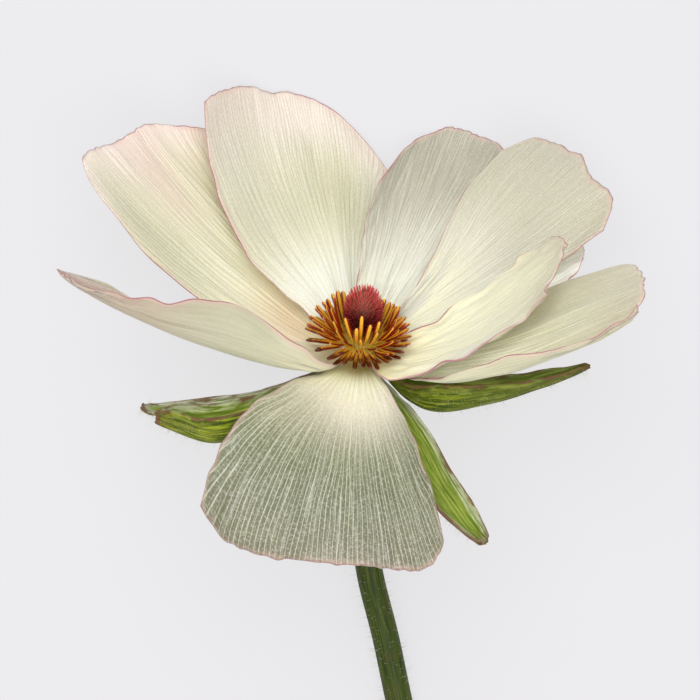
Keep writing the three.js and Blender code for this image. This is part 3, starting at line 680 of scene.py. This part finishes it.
def make_sepal(name, sepal, seed, material):
    """The fine sepal. Returns its middle surface, for its hairs."""
    rng = np.random.default_rng(seed)
    across, out = grid_shares(*SEPAL_CELLS)
    veins = full_veins(sepal["veins"], sepal["azimuth"], SEPAL_LEVEL, SEPAL_CLAW_WIDTH)
    ragged = rim_noise(rng, (2, 12), across) * SEPAL_RAGGED
    surface = middle_surface(veins, [0, 0, 0], across, out, ragged)
    edge = distances(surface)[0]
    swell = SEPAL_SWELL * smooth_noise(rng, (9, 8), out, across)
    swell += SEPAL_FOLD * smooth_noise(rng, (7, 26), out, across)
    near_edge = np.exp(-edge / SEPAL_RIM_WAVE_REACH)
    swell += SEPAL_RIM_WAVE * near_edge * smooth_noise(rng, (18, 6), out, across)
    swell *= smooth_step(out, *RELIEF_START)[:, None]
    surface = surface - normals_of(surface) * swell[..., None]
    levels = {"pale": sepal["pale"], "turn": seed * PATTERN_STEP}
    tint = np.clip(blade_tint(SEPAL_TINTS, [], across, out) * sepal["shade"] ** 2, 0, 1)
    add_blade(name, surface, SEPAL_THICK, 0, levels, tint, material)
    return surface


# Stem


def stem_path(count):
    """The stem's centre line in even shares, from the receptacle to the cut."""
    line = curve(STEM_LINE, np.linspace(0, 1, count))
    keep_above_floor(line, STEM_LIFT)
    return line


def make_stem(material):
    rng = np.random.default_rng(SEEDS["stem"])
    sides, steps = STEM_CELLS
    # Above the stem the same skin runs on as the receptacle, up the bloom's axis.
    head = np.array(RECEPTACLE_HEIGHTS)[:, None] * AXIS
    line = np.concatenate([head, stem_path(steps)[1:]])
    radii = np.full(len(line), STEM_RADIUS)
    radii[:len(head)] = RECEPTACLE_RADII
    radii[len(head):len(head) + NECK_RINGS] = np.linspace(NECK_RADIUS, STEM_RADIUS, NECK_RINGS)
    radii[-3:] *= (1.0, 0.99, 0.93)  # eased at the cut
    points, faces = tube(line, radii, sides, UP)
    turn = ring_turns(sides)
    ridges = sum(high * np.sin(turn * count + start) for count, high, start in STEM_RIDGES)
    centre = np.repeat(line, sides, axis=0)
    outward = unit(points[:-2] - centre)
    roughness = np.tile(ridges, len(line)) + rng.uniform(-STEM_ROUGHNESS, STEM_ROUGHNESS, len(centre))
    points[:-2] += outward * roughness[:, None]
    keep_above_floor(points)
    along = np.repeat(np.linspace(0, 1, len(line)), sides)
    around = np.tile(turn / (2 * np.pi), len(line))
    shares = np.concatenate([np.stack([around, along], axis=1), [[0, 0], [0, 1]]])
    pale = np.repeat(np.arange(len(line)) < len(head), sides).astype(float)
    values = {"pale": np.concatenate([pale, [1, 0]]), "shares": shares}
    piece = add_piece("stem_fine", points, faces, material, values)
    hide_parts("stem")


# Stamens


def simple_draws():
    """Endless draws between 0 and 1, the same ones as in the part's source."""
    state = DRAW_SEED
    while True:
        state = (state * DRAW_FACTOR + DRAW_STEP) % DRAW_RANGE
        yield state / DRAW_RANGE


def make_stamens(material):
    draws = simple_draws()
    rng = np.random.default_rng(SEEDS["stamens"])
    low, high, wide = STAMEN_RING["bottom"], STAMEN_RING["top"], STAMEN_RING["radius"]
    middle = (low + high) / 2
    filament = FILAMENT_OUTLINE * FILAMENT_WIDTH / 2
    margin = np.tile(np.abs(np.cos(ring_turns(STAMEN_SIDES))) ** 1.5, len(STAMEN_STEPS))
    parts = []
    for k in range(STAMEN_COUNT):
        azimuth = k * GOLDEN_TURN
        rightward, backward = math.cos(math.radians(azimuth)), math.sin(math.radians(azimuth))
        share = (k + 0.5) / STAMEN_COUNT  # 0 for the outermost stamens, 1 for the innermost
        outermost = STAMEN_RISE + STAMEN_RISE_TILT * backward
        rise = outermost + (STAMEN_RISE_INNERMOST - outermost) * share**1.5
        climb = math.radians(rise + STAMEN_RISE_SPREAD * (next(draws) - 0.5))
        length = STAMEN_LENGTH[0] + (STAMEN_LENGTH[1] - STAMEN_LENGTH[0]) * share
        length += STAMEN_LENGTH_SPREAD * (next(draws) - 0.5)
        length -= STAMEN_LENGTH_TILT * rightward
        length -= STAMEN_LENGTH_FALL * share * backward
        most_sag = STAMEN_SAG + STAMEN_SAG_SPREAD * rng.random()
        aside = rng.uniform(-STAMEN_ASIDE, STAMEN_ASIDE)
        line = []
        for s in STAMEN_STEPS:
            sag = -most_sag * math.sin(math.pi * s)
            radius = STAMEN_ROOT + s * length * math.cos(climb) - sag * math.sin(climb)
            height = middle + s * length * math.sin(climb) + sag * math.cos(climb)
            line.append(around_axis(azimuth + aside * s, radius, height))
        size = rng.uniform(0.88, 1.08) * (0.92 + 0.12 * share)
        widths = filament + ANTHER_OUTLINE * ANTHER_WIDTH / 2 * size
        heights = filament + ANTHER_OUTLINE * ANTHER_THICK / 2 * size
        points, faces = tube(line, widths, STAMEN_SIDES, AXIS, heights, groove=0.55)
        age = 1 - share + 0.5 * max(0, -backward) + 0.2 * rng.uniform(-1, 1)  # older at the front
        values = {
            "margin": np.concatenate([margin, [0.5, 0.8]]),
            "out": np.concatenate([np.repeat(STAMEN_STEPS, STAMEN_SIDES), [0, 1]]),
            "age": np.full(len(points), age),
        }
        parts.append((points, faces, values))
    # The ring that their roots stand in, with eased edges
    line = np.array([low, low + 0.1, high - 0.2, high])[:, None] * AXIS
    ring, faces = tube(line, [wide - 0.1, wide, wide, wide - 0.5], CORE_SIDES, RIGHT)
    parts.append((ring, faces, {key: np.zeros(len(ring)) for key in ("margin", "out", "age")}))
    points, faces, values = merged(parts)
    piece = add_piece("stamens_fine", points, faces, material, values)
    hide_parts("stamens")


# Carpel head


def head_radius(height):
    """The head's radius at a height between -1, its foot, and 1, its top."""
    return HEAD_RADIUS * np.maximum(1 - np.square(height), 0) ** (HEAD_FULLNESS / 2)


def make_head(material):
    rng = np.random.default_rng(SEEDS["head"])
    levels = np.sin(np.linspace(-0.5, 0.5, CORE_STEPS)[1:-1] * math.pi)
    core_line = (HEAD_CENTRE + HEAD_HALF_HEIGHT * levels)[:, None] * AXIS
    core, faces = tube(core_line, head_radius(levels), CORE_SIDES, RIGHT)
    core_up = np.concatenate([np.repeat(levels, CORE_SIDES), [-1, 1]])
    parts = [(core, faces, {"tip": np.zeros(len(core)), "up": core_up})]
    tip = np.concatenate([np.repeat(np.clip(STYLE_STEPS, 0, 1), STYLE_SIDES), [0, 1]])
    for k in range(STYLE_COUNT):
        azimuth = k * GOLDEN_TURN
        up = STYLE_START + STYLE_REACH * (k + 0.5) / STYLE_COUNT
        foot = around_axis(azimuth, head_radius(up), HEAD_CENTRE + HEAD_HALF_HEIGHT * up)
        outward = around_axis(azimuth, math.sqrt(1 - up * up), up * 0.6 + 0.5)
        outward = unit(outward + rng.normal(0, 0.13, 3))
        length = STYLE_LENGTH * rng.uniform(0.7, 1.1)
        curl = 0.2 * AXIS + rng.normal(0, 0.05, 3)
        line = [foot + outward * s * length + curl * max(s, 0) ** 2 for s in STYLE_STEPS]
        widths = STYLE_OUTLINE * STYLE_WIDTH / 2 * rng.uniform(0.85, 1.25)
        points, faces = tube(line, widths, STYLE_SIDES, RIGHT + 0.01 * BACK)
        values = {"tip": tip, "up": np.full(len(points), up + 0.3 * rng.uniform(-1, 1))}
        parts.append((points, faces, values))
    points, faces, values = merged(parts)
    piece = add_piece("carpel_head_fine", points, faces, material, values)
    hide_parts("carpel_head")


# Hairs


def add_hairs(name, rng, roots, outwards, towards, kind, material):
    """A piece of fine tapered hairs that stand outwards and lean a little, each in its own way."""
    parts = []
    lean = kind["lean"] * unit(towards)
    across = np.array([0.31, 0.55, 0.77])  # any direction that no hair runs along
    values = {"out": np.concatenate([np.repeat(HAIR_STEPS, HAIR_SIDES), [0, 1]])}
    for root, outward, length in zip(roots, outwards, rng.uniform(*kind["lengths"], kind["count"])):
        sway = lean + rng.normal(0, 0.25, 3)
        line = [root + outward * s * length + sway * 0.35 * length * s * s for s in HAIR_STEPS]
        points, faces = tube(line, HAIR_OUTLINE * kind["radius"], HAIR_SIDES, across)
        parts.append((points, faces, values))
    points, faces, values = merged(parts)
    keep_above_floor(points)
    add_piece(name + "_hairs", points, faces, material, values)


def make_sepal_hairs(name, surface, seed, material):
    rng = np.random.default_rng(seed)
    rows, columns = surface.shape[:2]
    normals = normals_of(surface)
    j = rng.integers(int(rows * 0.12), rows - 2, SEPAL_HAIRS["count"])  # none on the claw
    i = rng.integers(1, columns - 1, SEPAL_HAIRS["count"])
    roots = surface[j, i] - normals[j, i] * SEPAL_THICK * 0.45  # just under the outer face
    towards = surface[-1, columns // 2] - surface[0, columns // 2]
    add_hairs(name, rng, roots, -normals[j, i], towards, SEPAL_HAIRS, material)


def make_stem_hairs(material):
    rng = np.random.default_rng(SEEDS["stem hairs"])
    steps = 400
    line = stem_path(steps)
    k = rng.integers(10, steps - 2, STEM_HAIRS["count"])  # none at the ends
    tangent = unit(np.gradient(line, axis=0))[k]
    side = unit(np.cross(UP, tangent))
    top = np.cross(tangent, side)
    turn = rng.uniform(-0.25, math.pi + 0.25, STEM_HAIRS["count"])  # none underneath
    outward = side * np.cos(turn)[:, None] + top * np.sin(turn)[:, None]
    roots = line[k] + outward * STEM_RADIUS * 0.99
    add_hairs("stem", rng, roots, outward, line[0] - line[-1], STEM_HAIRS, material)


# Materials


class Finish:
    """A node material in the making, with short calls for the nodes that the finishes use."""

    def __init__(self, name, **sockets):
        self.material = bpy.data.materials.new(name)
        self.material.use_nodes = True
        self.tree = self.material.node_tree
        self.shader = self.tree.nodes["Principled BSDF"]
        for socket, value in sockets.items():
            self.shader.inputs[socket.replace("_", " ")].default_value = value

    def node(self, kind, output, inputs, **settings):
        node = self.tree.nodes.new(kind)
        for key, value in settings.items():
            setattr(node, key, value)
        for key, value in inputs.items():
            self.put(node.inputs[key], value)
        return node.outputs[output]

    def put(self, socket, value):
        if isinstance(value, bpy.types.NodeSocket):
            self.tree.links.new(value, socket)
        else:
            socket.default_value = value

    def value(self, name, output="Fac"):
        return self.node("ShaderNodeAttribute", output, {}, attribute_name=name)

    def math(self, operation, a, b=0.0, c=0.0):
        return self.node("ShaderNodeMath", 0, {0: a, 1: b, 2: c}, operation=operation)

    def times(self, a, b):
        return self.math("MULTIPLY", a, b)

    def times_plus(self, a, b, c):
        """a times b, plus c."""
        return self.math("MULTIPLY_ADD", a, b, c)

    def share(self, axis):
        """The blade's own share: X across its fan of veins, Y out from its claw."""
        shares = self.node("ShaderNodeUVMap", "UV", {}, uv_map="UVMap")
        return self.node("ShaderNodeSeparateXYZ", axis, {0: shares})

    def scaled_shares(self, across, out, depth=0.0):
        """The blade's own shares, stretched for a noise."""
        x = self.times(self.share("X"), across)
        y = self.times(self.share("Y"), out)
        return self.node("ShaderNodeCombineXYZ", 0, {"X": x, "Y": y, "Z": depth})

    def draw(self, value):
        """A draw between 0 and 1 that is the same wherever the value is."""
        return self.node("ShaderNodeTexWhiteNoise", "Value", {"W": value}, noise_dimensions="1D")

    def place(self, scale):
        """The place on the object, in units of the given length in metres."""
        at = self.node("ShaderNodeTexCoord", "Object", {})
        return self.node("ShaderNodeVectorMath", 0, {0: at, 1: (1 / scale,) * 3}, operation="MULTIPLY")

    def noise(self, vector, detail, roughness):
        inputs = {"Vector": vector, "Scale": 1.0, "Detail": detail, "Roughness": roughness}
        return self.node("ShaderNodeTexNoise", 0, inputs)

    def ramp(self, value, low, high, to_low=0.0, to_high=1.0):
        inputs = {"Value": value, "From Min": low, "From Max": high, "To Min": to_low, "To Max": to_high}
        return self.node("ShaderNodeMapRange", 0, inputs, interpolation_type="SMOOTHSTEP")

    def mix(self, share, a, b):
        def colour(c):
            return c if isinstance(c, bpy.types.NodeSocket) else (*linear(c), 1.0)

        inputs = {"Fac": share, "Color1": colour(a), "Color2": colour(b)}
        return self.node("ShaderNodeMixRGB", "Color", inputs)

    def bump(self, height, distance, strength):
        inputs = {"Height": height, "Distance": distance * MM, "Strength": strength}
        self.put(self.shader.inputs["Normal"], self.node("ShaderNodeBump", "Normal", inputs))

    def layers(self, colour, *layers):
        """The colour with others laid over it in turn: where, how strongly, and which."""
        for where, strength, over in layers:
            colour = self.mix(self.times(where, strength), colour, over)
        return colour

    def colour(self, value):
        self.put(self.shader.inputs["Base Color"], value)
        return self.material


def fine_veins(f, count, turn):
    """How far each place is from the nearest fine vein, in mm, and how strong that vein is, 0.5 to 1.
    Each vein of the fan forks into two, and each of those into two again, a little later."""
    wave = f.noise(f.scaled_shares(9, 3.5, turn), 1.0, 0.5)
    phase = f.times_plus(wave, VEIN_WANDER, f.times(f.share("X"), count))
    order = f.math("ROUND", phase)
    aside = f.math("SUBTRACT", phase, order)
    for start, apart in FORKS:
        begin = f.times_plus(f.draw(f.math("ADD", order, turn)), FORK_DELAY, start)
        apart_here = f.ramp(f.share("Y"), begin, f.math("ADD", begin, FORK_LENGTH), 0.0, apart)
        order = f.times_plus(order, 2.0, f.math("GREATER_THAN", aside, 0.0))
        aside = f.math("SUBTRACT", f.math("ABSOLUTE", aside), apart_here)
    order = f.times_plus(order, 2.0, f.math("GREATER_THAN", aside, 0.0))
    away = f.times(f.math("ABSOLUTE", aside), f.math("DIVIDE", f.value("fan_width"), count))
    return away, f.times_plus(f.draw(order), 0.5, 0.5)


def petal_finish():
    f = Finish(
        "petal", Roughness=0.38, Sheen_Weight=0.15, Sheen_Roughness=0.4,
        Subsurface_Weight=0.7, Subsurface_Radius=(1.0, 0.92, 0.7), Subsurface_Scale=0.6 * MM,
    )
    turn = f.value("turn")
    edge = f.value("edge")
    streaks_and_painted_sheen = f.value("streaks_and_painted_sheen")
    crinkle_shading = f.value("crinkle_shading")
    streaks = f.noise(f.scaled_shares(150, 4.5, turn), 2.0, 0.6)
    broad = f.noise(f.scaled_shares(18, 2.5, turn), 2.0, 0.5)
    cells = f.noise(f.scaled_shares(150, 120, turn), 2.0, 0.65)
    folds = f.noise(f.scaled_shares(24, 60, turn), 1.0, 0.5)
    away, strength = fine_veins(f, PETAL_VEINS, turn)
    grown = f.ramp(f.share("Y"), 0.25, 0.6, 0.45, 1.0)
    near_vein = f.times(f.ramp(away, 0.09, 0.02), strength)
    pale_vein = f.times(near_vein, f.times(f.value("lines"), grown))
    # Veins that are pale further out are dark on the pale ground near the claw.
    dark_near_claw = f.times(f.value("lines"), f.ramp(f.share("Y"), 0.5, 0.3))
    furrow = f.times(near_vein, f.times_plus(f.value("ribs"), grown, dark_near_claw))
    blush = f.times(f.ramp(edge, 1.1, 0.1), f.ramp(broad, 0.3, 0.7, 0.1, 0.5))
    rim = f.ramp(f.times_plus(cells, 0.16, edge), 0.3, 0.16)
    colour = f.layers(
        f.value("tint", "Color"),
        (f.ramp(broad, 0.4, 0.7), 0.1, (178, 178, 150)),
        # Painted shade in the hollows of the crinkles and painted highlights on their crests, then darker
        # streaks and pale streaks of painted sheen
        (f.times(f.ramp(cells, 0.55, 0.35), crinkle_shading), 0.22, (120, 124, 96)),
        (f.times(f.ramp(cells, 0.45, 0.68), crinkle_shading), 0.26, PETAL_PAINTED_SHEEN),
        (f.times(f.ramp(streaks, 0.48, 0.28), f.times(streaks_and_painted_sheen, grown)), 0.3, (150, 154, 124)),
        (f.times(f.ramp(streaks, 0.5, 0.72), streaks_and_painted_sheen), 0.3, PETAL_PAINTED_SHEEN),
        (furrow, 0.5, (140, 136, 104)),
        (pale_vein, 0.6, (238, 240, 214)),
        (f.value("outside"), 0.55, (178, 175, 150)),
        (blush, 1.0, (216, 178, 172)),
        (rim, f.ramp(broad, 0.3, 0.65, 0.5, 0.95), (158, 102, 112)),
    )
    height = f.times_plus(cells, 0.8, f.times(streaks, 0.6))
    height = f.times_plus(folds, 0.6, height)
    height = f.times_plus(furrow, -0.4, height)
    f.bump(f.times_plus(pale_vein, 0.3, height), 0.07, 0.75)
    return f.colour(colour)


def sepal_finish():
    f = Finish(
        "sepal", Roughness=0.5, Specular_IOR_Level=0.2,
        Subsurface_Weight=0.15, Subsurface_Radius=(0.5, 0.9, 0.3), Subsurface_Scale=0.4 * MM,
    )
    turn = f.value("turn")
    edge = f.value("edge")
    streaks = f.noise(f.scaled_shares(34, 6, turn), 3.0, 0.7)
    blots = f.noise(f.scaled_shares(9, 9, turn), 3.0, 0.7)
    away, strength = fine_veins(f, SEPAL_VEINS, turn)
    vein = f.times(f.ramp(away, 0.3, 0.05), strength)
    outside = f.layers(
        f.value("tint", "Color"),
        (f.ramp(streaks, 0.42, 0.6), 1.0, (62, 80, 12)),
        (f.ramp(blots, 0.48, 0.68), 0.65, (158, 164, 72)),
        (vein, 0.6, (60, 72, 18)),
    )
    bare = f.ramp(f.times_plus(edge, 0.2, streaks), 0.8, 0.55)
    # The inside's two greens are its own, made lighter as painted light against the shade that the petals
    # cast on it
    inside = f.layers(
        f.mix(f.ramp(streaks, 0.4, 0.62), (172, 186, 80), (104, 128, 24)),
        (bare, f.value("pale"), (226, 224, 204)),
        (vein, 0.6, (92, 110, 30)),
    )
    burnt = f.times(f.ramp(f.share("Y"), 0.86, 1.0), f.ramp(blots, 0.35, 0.6))
    colour = f.layers(
        f.mix(f.value("outside"), inside, outside),
        (f.ramp(f.times_plus(blots, 3.0, edge), 2.1, 1.45), 0.9, (112, 76, 48)),
        (burnt, 0.7, (88, 58, 30)),
    )
    height = f.times_plus(blots, 0.4, streaks)
    f.bump(f.times_plus(vein, -0.5, height), 0.12, 0.8)
    return f.colour(colour)


def stem_finish():
    f = Finish("stem", Roughness=0.5, Specular_IOR_Level=0.2)
    fibres = f.noise(f.scaled_shares(60, 14), 3.0, 0.6)
    blots = f.noise(f.place(3 * MM), 3.0, 0.5)
    colour = f.layers(
        f.mix(f.ramp(fibres, 0.35, 0.65), (34, 48, 8), (70, 84, 20)),
        (f.ramp(blots, 0.45, 0.7), 0.35, (80, 72, 30)),
        (f.value("pale"), 1.0, (208, 210, 140)),
    )
    f.bump(fibres, 0.08, 0.6)
    return f.colour(colour)


def stamen_finish():
    f = Finish("stamen", Roughness=0.26, Subsurface_Weight=0.3, Subsurface_Scale=0.3 * MM)
    grains = f.noise(f.place(0.12 * MM), 2.0, 0.6)
    out = f.value("out")
    margin = f.ramp(f.times_plus(grains, 0.3, f.value("margin")), 0.5, 0.8)
    old = f.times(f.ramp(f.value("age"), 0.5, 1.2), f.ramp(out, 0.42, 0.8))
    colour = f.layers(
        f.mix(f.ramp(grains, 0.35, 0.65), (255, 172, 18), (255, 222, 84)),
        (margin, f.ramp(out, 0.26, 0.36), (138, 22, 4)),
        (old, 0.95, (84, 8, 8)),
        (f.ramp(out, 0.3, 0.0), 1.0, (196, 168, 60)),
    )
    f.bump(grains, 0.05, 0.6)
    return f.colour(colour)


def head_finish():
    f = Finish("carpel", Roughness=0.45)
    grains = f.noise(f.place(0.15 * MM), 2.0, 0.6)
    up = f.value("up")
    # The core and the styles' feet are painted darker than the ends, as painted shade in the gaps between
    # the styles. The ends are lighter, partly the styles' own rose and partly painted light for the light
    # that the close-packed styles keep from each other. Both are darker towards the head's foot and lighter
    # towards its top.
    foot = f.mix(f.ramp(up, 0.0, 0.8), (44, 6, 6), (140, 74, 44))
    end = f.mix(f.ramp(up, -0.3, 0.9), (132, 20, 20), (216, 84, 84))
    colour = f.layers(
        f.mix(f.ramp(f.value("tip"), 0.0, 0.6), foot, end),
        (f.ramp(grains, 0.45, 0.75), 0.3, (130, 34, 46)),
    )
    f.bump(grains, 0.04, 0.5)
    return f.colour(colour)


def hair_finish():
    f = Finish("hair", Roughness=0.4)
    return f.colour(f.mix(f.value("out"), (170, 176, 140), (226, 226, 214)))


def floor_finish():
    """The pale top of a light table: most of its brightness is its own, so shadows on it are faint."""
    glow = (*linear((236, 235, 237)), 1.0)
    f = Finish("floor", Roughness=0.9, Emission_Color=glow, Emission_Strength=0.79)
    mottle = f.noise(f.place(0.02), 3.0, 0.5)
    return f.colour(f.mix(mottle, (95, 94, 96), (99, 98, 100)))


# Floor, light and camera


def make_floor():
    mesh = bpy.data.meshes.new("floor")
    corners = [(x * FLOOR_HALF, y * FLOOR_HALF, 0) for x, y in ((-1, -1), (1, -1), (1, 1), (-1, 1))]
    mesh.from_pydata(corners, [], [[0, 1, 2, 3]])
    mesh.materials.append(floor_finish())
    add_object("floor", mesh)


def add_light(name, place, size, power):
    """A square soft light at a place in metres from the heart, turned to it."""
    data = bpy.data.lights.new(name, "AREA")
    data.size = size
    data.energy = power
    light = add_object(name, data)
    light.location = Vector(HEART * MM) + Vector(place)
    light.rotation_mode = "QUATERNION"
    light.rotation_quaternion = (-Vector(place)).to_track_quat("-Z", "Y")


def make_camera():
    data = bpy.data.cameras.new("camera")
    data.sensor_width = SENSOR_WIDTH
    data.lens = SENSOR_WIDTH * VIEW_DISTANCE / VIEW_WIDTH
    data.clip_end = 100  # metres
    camera = add_object("camera", data)
    camera.location = Vector((VIEW_CENTRE + UP * VIEW_DISTANCE) * MM)
    scene.camera = camera


make_camera()
make_floor()
add_light("key", (-0.15, 0.36, 0.95), 1.0, 6.3)
add_light("fill", (0.15, -0.5, 0.92), 0.8, 4.2)
world = bpy.data.worlds.new("studio")
world.use_nodes = True
background = world.node_tree.nodes["Background"]
background.inputs["Color"].default_value = (1, 1, 1, 1)
background.inputs["Strength"].default_value = ROOM_LIGHT
scene.world = world
scene.view_settings.view_transform = "Standard"

petal_material = petal_finish()
for seed, (name, petal) in enumerate(PETALS.items(), SEEDS["petal"]):
    make_petal(name, petal, seed, petal_material)
sepal_material = sepal_finish()
hair_material = hair_finish()
for order, (name, sepal) in enumerate(SEPALS.items()):
    sepal_surface = make_sepal(name, sepal, SEEDS["sepal"] + order, sepal_material)
    make_sepal_hairs(name, sepal_surface, SEEDS["sepal hairs"] + order, hair_material)
make_stem(stem_finish())
make_stem_hairs(hair_material)
make_stamens(stamen_finish())
make_head(head_finish())
